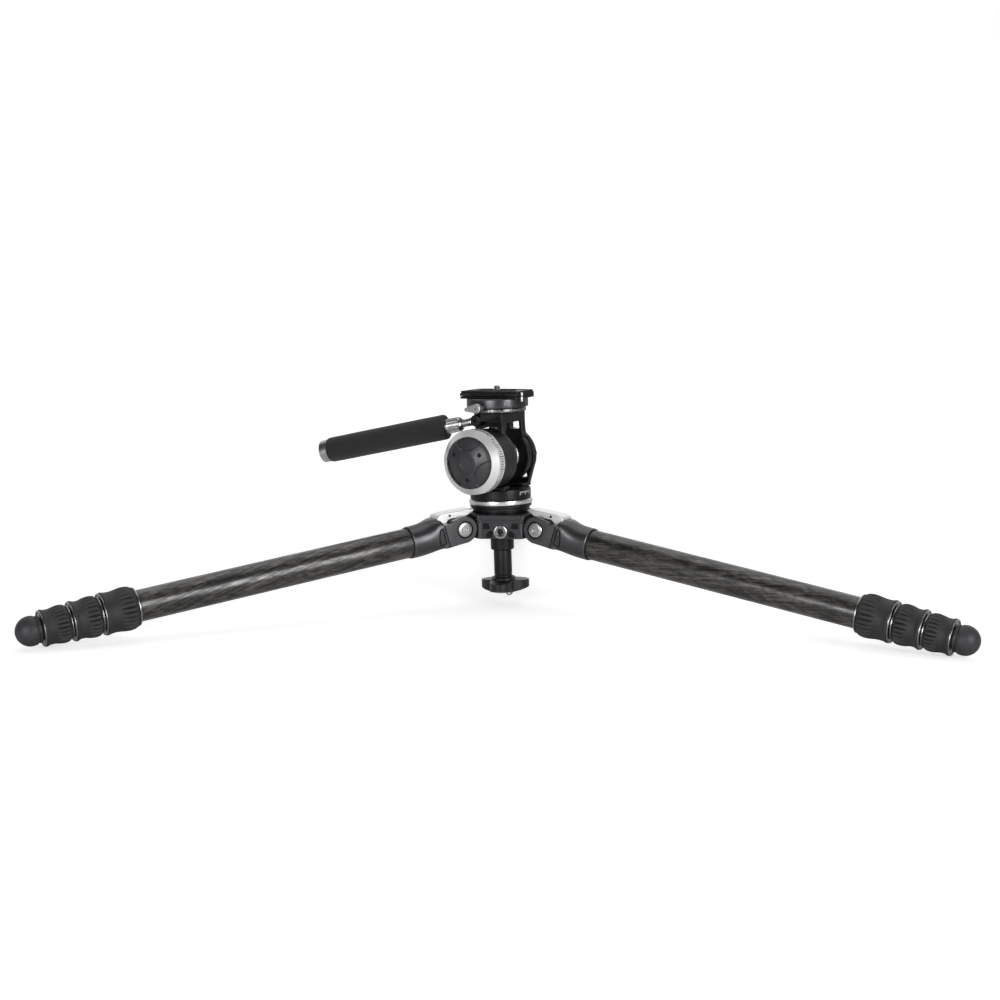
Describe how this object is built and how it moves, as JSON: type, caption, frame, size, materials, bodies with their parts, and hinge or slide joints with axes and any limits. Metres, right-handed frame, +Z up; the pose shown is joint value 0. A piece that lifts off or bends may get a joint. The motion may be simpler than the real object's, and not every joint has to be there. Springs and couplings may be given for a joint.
{
  "type": "tripod with fluid head",
  "caption": "Low-standing telescopic tripod with a leveling half-ball base and a fluid head that pans, tilts and clamps a dovetail camera plate.",
  "frame": {"origin": "on the floor, under the middle of the bounding box", "axes": "+X the way the head looks and leg 1 points, +Y to the head's left, +Z up"},
  "size_m": [0.7018, 0.8064, 0.2091],
  "materials": {
    "carbon_fibre": "braided carbon weave under satin clear coat",
    "graphite_anodised": "dark graphite anodised, fine satin",
    "black_anodised": "black anodised, satin",
    "satin_aluminium": "bright satin, turned",
    "grey_aluminium": "grey, turned",
    "grip_rubber": "ribbed, matte",
    "grip_foam": "closed-cell foam, matte",
    "black_plastic": "moulded, fine grain"
  },
  "bodies": {
    "hub": {"hub": "graphite_anodised", "accessory_socket": "satin_aluminium"},
    "leg_1": {"leg_1_casting": "graphite_anodised", "leg_1_tube_1": "carbon_fibre", "leg_1_pivot_bolt": "satin_aluminium"},
    "leg_1_tab": {"leg_1_angle_tab": "satin_aluminium"},
    "leg_1_twist_1": {"leg_1_lock_1": "grip_rubber"},
    "leg_1_section_2": {"leg_1_tube_2": "carbon_fibre"},
    "leg_1_twist_2": {"leg_1_lock_2": "grip_rubber"},
    "leg_1_section_3": {"leg_1_tube_3": "carbon_fibre"},
    "leg_1_twist_3": {"leg_1_lock_3": "grip_rubber"},
    "leg_1_section_4": {"leg_1_tube_4": "carbon_fibre", "leg_1_foot": "grip_rubber"},
    "leg_2": {"leg_2_casting": "graphite_anodised", "leg_2_tube_1": "carbon_fibre", "leg_2_pivot_bolt": "satin_aluminium"},
    "leg_2_tab": {"leg_2_angle_tab": "satin_aluminium"},
    "leg_2_twist_1": {"leg_2_lock_1": "grip_rubber"},
    "leg_2_section_2": {"leg_2_tube_2": "carbon_fibre"},
    "leg_2_twist_2": {"leg_2_lock_2": "grip_rubber"},
    "leg_2_section_3": {"leg_2_tube_3": "carbon_fibre"},
    "leg_2_twist_3": {"leg_2_lock_3": "grip_rubber"},
    "leg_2_section_4": {"leg_2_tube_4": "carbon_fibre", "leg_2_foot": "grip_rubber"},
    "leg_3": {"leg_3_casting": "graphite_anodised", "leg_3_tube_1": "carbon_fibre", "leg_3_pivot_bolt": "satin_aluminium"},
    "leg_3_tab": {"leg_3_angle_tab": "satin_aluminium"},
    "leg_3_twist_1": {"leg_3_lock_1": "grip_rubber"},
    "leg_3_section_2": {"leg_3_tube_2": "carbon_fibre"},
    "leg_3_twist_2": {"leg_3_lock_2": "grip_rubber"},
    "leg_3_section_3": {"leg_3_tube_3": "carbon_fibre"},
    "leg_3_twist_3": {"leg_3_lock_3": "grip_rubber"},
    "leg_3_section_4": {"leg_3_tube_4": "carbon_fibre", "leg_3_foot": "grip_rubber"},
    "seat": {"leveling_seat_liner": "black_plastic"},
    "ball": {"leveling_half_ball": "black_anodised", "leveling_collar": "black_anodised", "leveling_column": "black_anodised", "head_base": "black_anodised", "pan_scale_ring": "satin_aluminium"},
    "leveling_knob": {"leveling_knob": "black_plastic"},
    "weight_ring": {"weight_ring": "satin_aluminium"},
    "pan": {"pan_body": "black_anodised", "tilt_drum": "black_anodised"},
    "pan_knob": {"pan_lock_knob": "black_plastic"},
    "drag_wheel": {"drag_wheel": "satin_aluminium", "wheel_cover": "black_plastic"},
    "tilt": {"tilt_yoke": "black_anodised", "tilt_axle": "satin_aluminium", "clamp_base_ring": "grey_aluminium"},
    "handle": {"handle_rod": "satin_aluminium"},
    "grip": {"handle_grip": "grip_foam", "handle_end_cap": "satin_aluminium"},
    "handle_nut": {"handle_nut": "satin_aluminium"},
    "clamp": {"clamp_body": "grey_aluminium"},
    "clamp_jaw": {"clamp_jaw": "black_anodised"},
    "clamp_lever": {"clamp_lever": "satin_aluminium"},
    "plate": {"quick_release_plate": "black_anodised"},
    "plate_screw": {"plate_screw": "satin_aluminium"}
  },
  "joints": [
    {"name": "leg_1_spread", "type": "hinge", "parent": "hub", "child": "leg_1", "pos_m": [-0.06607, 0, 0.0737], "axis": [0, 1, 0], "range_deg": [0, 75]},
    {"name": "leg_1_tab_release", "type": "hinge", "parent": "leg_1", "child": "leg_1_tab", "pos_m": [-0.05322, 0, 0.08602], "axis": [0, 1, 0], "range_deg": [0, 10], "stiffness_Nm_per_rad": 0.08, "springref_deg": -8.59},
    {"name": "leg_1_twist_1_turn", "type": "hinge", "parent": "leg_1", "child": "leg_1_twist_1", "pos_m": [0.13148, 0, 0.04229], "axis": [0.9901, 0, -0.14], "range_deg": [0, 120]},
    {"name": "leg_1_extend_2", "type": "slide", "parent": "leg_1", "child": "leg_1_section_2", "axis": [0.9901, 0, -0.14], "range_m": [0, 0.25]},
    {"name": "leg_1_twist_2_turn", "type": "hinge", "parent": "leg_1_section_2", "child": "leg_1_twist_2", "pos_m": [0.13148, 0, 0.04229], "axis": [0.9901, 0, -0.14], "range_deg": [0, 120]},
    {"name": "leg_1_extend_3", "type": "slide", "parent": "leg_1_section_2", "child": "leg_1_section_3", "axis": [0.9901, 0, -0.14], "range_m": [0, 0.25]},
    {"name": "leg_1_twist_3_turn", "type": "hinge", "parent": "leg_1_section_3", "child": "leg_1_twist_3", "pos_m": [0.13148, 0, 0.04229], "axis": [0.9901, 0, -0.14], "range_deg": [0, 120]},
    {"name": "leg_1_extend_4", "type": "slide", "parent": "leg_1_section_3", "child": "leg_1_section_4", "axis": [0.9901, 0, -0.14], "range_m": [0, 0.25]},
    {"name": "leg_2_spread", "type": "hinge", "parent": "hub", "child": "leg_2", "pos_m": [-0.13597, -0.04036, 0.0737], "axis": [0.866, -0.5, 0], "range_deg": [0, 75]},
    {"name": "leg_2_tab_release", "type": "hinge", "parent": "leg_2", "child": "leg_2_tab", "pos_m": [-0.1424, -0.05149, 0.08602], "axis": [0.866, -0.5, 0], "range_deg": [0, 10], "stiffness_Nm_per_rad": 0.08, "springref_deg": -8.59},
    {"name": "leg_2_twist_1_turn", "type": "hinge", "parent": "leg_2", "child": "leg_2_twist_1", "pos_m": [-0.23475, -0.21144, 0.04229], "axis": [-0.4951, -0.8575, -0.14], "range_deg": [0, 120]},
    {"name": "leg_2_extend_2", "type": "slide", "parent": "leg_2", "child": "leg_2_section_2", "axis": [-0.4951, -0.8575, -0.14], "range_m": [0, 0.25]},
    {"name": "leg_2_twist_2_turn", "type": "hinge", "parent": "leg_2_section_2", "child": "leg_2_twist_2", "pos_m": [-0.23475, -0.21144, 0.04229], "axis": [-0.4951, -0.8575, -0.14], "range_deg": [0, 120]},
    {"name": "leg_2_extend_3", "type": "slide", "parent": "leg_2_section_2", "child": "leg_2_section_3", "axis": [-0.4951, -0.8575, -0.14], "range_m": [0, 0.25]},
    {"name": "leg_2_twist_3_turn", "type": "hinge", "parent": "leg_2_section_3", "child": "leg_2_twist_3", "pos_m": [-0.23475, -0.21144, 0.04229], "axis": [-0.4951, -0.8575, -0.14], "range_deg": [0, 120]},
    {"name": "leg_2_extend_4", "type": "slide", "parent": "leg_2_section_3", "child": "leg_2_section_4", "axis": [-0.4951, -0.8575, -0.14], "range_m": [0, 0.25]},
    {"name": "leg_3_spread", "type": "hinge", "parent": "hub", "child": "leg_3", "pos_m": [-0.13597, 0.04036, 0.0737], "axis": [-0.866, -0.5, 0], "range_deg": [0, 75]},
    {"name": "leg_3_tab_release", "type": "hinge", "parent": "leg_3", "child": "leg_3_tab", "pos_m": [-0.1424, 0.05149, 0.08602], "axis": [-0.866, -0.5, 0], "range_deg": [0, 10], "stiffness_Nm_per_rad": 0.08, "springref_deg": -8.59},
    {"name": "leg_3_twist_1_turn", "type": "hinge", "parent": "leg_3", "child": "leg_3_twist_1", "pos_m": [-0.23475, 0.21144, 0.04229], "axis": [-0.4951, 0.8575, -0.14], "range_deg": [0, 120]},
    {"name": "leg_3_extend_2", "type": "slide", "parent": "leg_3", "child": "leg_3_section_2", "axis": [-0.4951, 0.8575, -0.14], "range_m": [0, 0.25]},
    {"name": "leg_3_twist_2_turn", "type": "hinge", "parent": "leg_3_section_2", "child": "leg_3_twist_2", "pos_m": [-0.23475, 0.21144, 0.04229], "axis": [-0.4951, 0.8575, -0.14], "range_deg": [0, 120]},
    {"name": "leg_3_extend_3", "type": "slide", "parent": "leg_3_section_2", "child": "leg_3_section_3", "axis": [-0.4951, 0.8575, -0.14], "range_m": [0, 0.25]},
    {"name": "leg_3_twist_3_turn", "type": "hinge", "parent": "leg_3_section_3", "child": "leg_3_twist_3", "pos_m": [-0.23475, 0.21144, 0.04229], "axis": [-0.4951, 0.8575, -0.14], "range_deg": [0, 120]},
    {"name": "leg_3_extend_4", "type": "slide", "parent": "leg_3_section_3", "child": "leg_3_section_4", "axis": [-0.4951, 0.8575, -0.14], "range_m": [0, 0.25]},
    {"name": "leveling_side", "type": "hinge", "parent": "hub", "child": "seat", "pos_m": [-0.11267, 0, 0.091], "axis": [1, 0, 0], "range_deg": [-5, 5]},
    {"name": "leveling_forward", "type": "hinge", "parent": "seat", "child": "ball", "pos_m": [-0.11267, 0, 0.091], "axis": [0, 1, 0], "range_deg": [-5, 5]},
    {"name": "leveling_knob_turn", "type": "hinge", "parent": "ball", "child": "leveling_knob", "pos_m": [-0.11009, 0.00155, 0.01606], "axis": [-0.0344, -0.0207, 0.9992], "continuous": true},
    {"name": "weight_ring_swing", "type": "hinge", "parent": "leveling_knob", "child": "weight_ring", "pos_m": [-0.1035, 0.00161, 0.01349], "axis": [-0.0004, 0.9998, 0.0207], "range_deg": [-20, 20]},
    {"name": "pan_turn", "type": "hinge", "parent": "ball", "child": "pan", "pos_m": [-0.11316, -0.00029, 0.10499], "axis": [-0.0344, -0.0207, 0.9992], "continuous": true},
    {"name": "pan_lock_turn", "type": "hinge", "parent": "pan", "child": "pan_knob", "pos_m": [-0.13611, 0.02613, 0.10475], "axis": [-0.6559, 0.7548, -0.007], "range_deg": [0, 180]},
    {"name": "drag_turn", "type": "hinge", "parent": "pan", "child": "drag_wheel", "pos_m": [-0.11431, -0.04598, 0.13803], "axis": [0.0004, -0.9998, -0.0207], "range_deg": [-135, 135]},
    {"name": "tilt_turn", "type": "hinge", "parent": "pan", "child": "tilt", "pos_m": [-0.11432, -0.00099, 0.13896], "axis": [-0.0004, 0.9998, 0.0207], "range_deg": [-45, 90]},
    {"name": "handle_swing", "type": "hinge", "parent": "tilt", "child": "handle", "pos_m": [-0.12805, -0.01973, 0.17413], "axis": [-0.0004, 0.9998, 0.0207], "range_deg": [-14, 16]},
    {"name": "handle_extend", "type": "slide", "parent": "handle", "child": "grip", "axis": [-0.9614, -0.1666, -0.2189], "range_m": [0, 0.05]},
    {"name": "handle_nut_turn", "type": "hinge", "parent": "grip", "child": "handle_nut", "pos_m": [-0.1492, -0.02339, 0.16931], "axis": [-0.9614, -0.1666, -0.2189], "range_deg": [0, 120]},
    {"name": "clamp_pan", "type": "hinge", "parent": "tilt", "child": "clamp", "pos_m": [-0.11608, -0.00205, 0.18992], "axis": [-0.0344, -0.0207, 0.9992], "continuous": true},
    {"name": "jaw_open", "type": "slide", "parent": "clamp", "child": "clamp_jaw", "axis": [0.0004, -0.9998, -0.0207], "range_m": [0, 0.003]},
    {"name": "lever_turn", "type": "hinge", "parent": "clamp", "child": "clamp_lever", "pos_m": [-0.116, -0.036, 0.18722], "axis": [0.0004, -0.9998, -0.0207], "range_deg": [0, 90]},
    {"name": "plate_slide", "type": "slide", "parent": "clamp", "child": "plate", "axis": [0.9994, -0.0004, 0.0344], "range_m": [-0.01, 0.01]},
    {"name": "screw_turn", "type": "hinge", "parent": "plate", "child": "plate_screw", "pos_m": [-0.11653, -0.00231, 0.20291], "axis": [-0.0344, -0.0207, 0.9992], "continuous": true}
  ]
}
